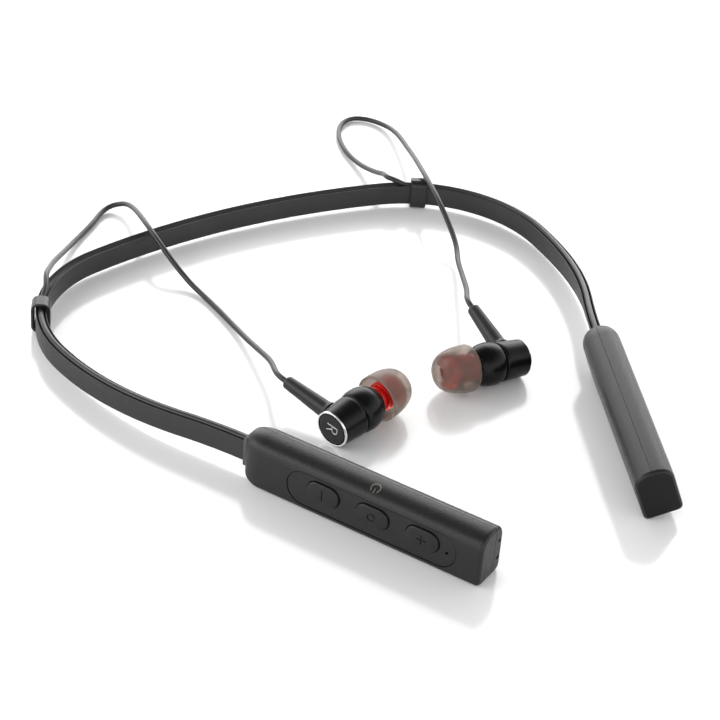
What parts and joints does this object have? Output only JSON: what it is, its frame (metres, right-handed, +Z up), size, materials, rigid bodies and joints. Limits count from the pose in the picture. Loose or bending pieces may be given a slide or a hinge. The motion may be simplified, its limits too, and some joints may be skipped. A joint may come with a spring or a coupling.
{
  "type": "neckband earphones",
  "caption": "Flexible U-shaped neckband with a button pod and a battery pod at its ends and two corded in-ear earbuds, for hands-free wireless listening.",
  "frame": {"origin": "on the resting surface, under the middle of the neckband's bounding box (cords left out)", "axes": "+Z up, +Y towards the back of the neck, the pods towards -Y, the wearer's right arm at -X"},
  "size_m": [0.1522, 0.2105, 0.0144],
  "materials": {
    "strap_rubber": "matte",
    "grey_rubber": "matte",
    "cord_rubber": "semi-gloss",
    "dark_plastic": "semi-gloss",
    "pod_plastic": "fine satin grain",
    "panel_plastic": "fine satin grain",
    "button_plastic": "satin",
    "steel": "plain",
    "board": "solder mask",
    "chip": "moulded",
    "battery_wrap": "laminated foil",
    "housing_gloss": "satin black",
    "disc_satin": "fine concentric brushing",
    "silver_trim": "bright",
    "nozzle_red": "glossy",
    "tip_silicone": "translucent silicone"
  },
  "bodies": {
    "neckband": {"neck_strap": "strap_rubber", "memory_wire": "steel", "right_strap_gasket": "grey_rubber", "left_strap_gasket": "grey_rubber", "right_strap_anchor": "steel", "left_strap_anchor": "steel", "right_pod_outer_shell": "pod_plastic", "right_pod_inner_cover": "pod_plastic", "button_panel": "panel_plastic", "minus_switch": "steel", "centre_switch": "steel", "plus_switch": "steel", "circuit_board": "board", "radio_chip": "chip", "microphone": "steel", "charging_socket": "steel", "circuit_board_screw_1": "steel", "circuit_board_screw_2": "steel", "left_pod_outer_shell": "pod_plastic", "left_pod_inner_shell": "pod_plastic", "battery_cell": "battery_wrap", "battery_board": "board", "right_rear_disc": "disc_satin", "right_trim_ring": "silver_trim", "right_rear_housing": "housing_gloss", "right_front_housing": "housing_gloss", "right_driver": "steel", "right_nozzle": "nozzle_red", "right_nozzle_mesh": "steel", "right_cord_relief": "strap_rubber", "right_cord": "cord_rubber", "left_rear_disc": "disc_satin", "left_trim_ring": "silver_trim", "left_rear_housing": "housing_gloss", "left_front_housing": "housing_gloss", "left_driver": "steel", "left_nozzle": "nozzle_red", "left_nozzle_mesh": "steel", "left_cord_relief": "strap_rubber", "left_cord": "cord_rubber"},
    "minus_button": {"minus_button": "button_plastic"},
    "centre_button": {"centre_button": "button_plastic"},
    "plus_button": {"plus_button": "button_plastic"},
    "charging_flap": {"charging_port_flap": "strap_rubber"},
    "right_loop": {"right_slider_loop": "dark_plastic"},
    "left_loop": {"left_slider_loop": "dark_plastic"},
    "right_tip": {"right_ear_tip": "tip_silicone"},
    "left_tip": {"left_ear_tip": "tip_silicone"}
  },
  "joints": [
    {"name": "minus_press", "type": "slide", "parent": "neckband", "child": "minus_button", "axis": [0.9026, 0.4305, 0], "range_m": [0, 0.00035], "stiffness_N_per_m": 150, "springref_m": -0.0008},
    {"name": "centre_press", "type": "slide", "parent": "neckband", "child": "centre_button", "axis": [0.9026, 0.4305, 0], "range_m": [0, 0.00035], "stiffness_N_per_m": 150, "springref_m": -0.0008},
    {"name": "plus_press", "type": "slide", "parent": "neckband", "child": "plus_button", "axis": [0.9026, 0.4305, 0], "range_m": [0, 0.00035], "stiffness_N_per_m": 150, "springref_m": -0.0008},
    {"name": "charging_flap_hinge", "type": "hinge", "parent": "neckband", "child": "charging_flap", "pos_m": [-0.02475, -0.06909, 0.0065], "axis": [0, 0, 1], "range_deg": [0, 100]},
    {"name": "right_loop_slide", "type": "hinge", "parent": "neckband", "child": "right_loop", "pos_m": [-0.03752, 0.04022, 0], "axis": [0, 0, 1], "range_deg": [0, 26]},
    {"name": "left_loop_slide", "type": "hinge", "parent": "neckband", "child": "left_loop", "pos_m": [0.03752, 0.04022, 0], "axis": [0, 0, 1], "range_deg": [-20, 0]},
    {"name": "right_tip_pull", "type": "slide", "parent": "neckband", "child": "right_tip", "axis": [0.9559, 0.283, 0.078], "range_m": [0, 0.0045]},
    {"name": "left_tip_pull", "type": "slide", "parent": "neckband", "child": "left_tip", "axis": [-0.9968, 0.017, 0.078], "range_m": [0, 0.0045]}
  ]
}
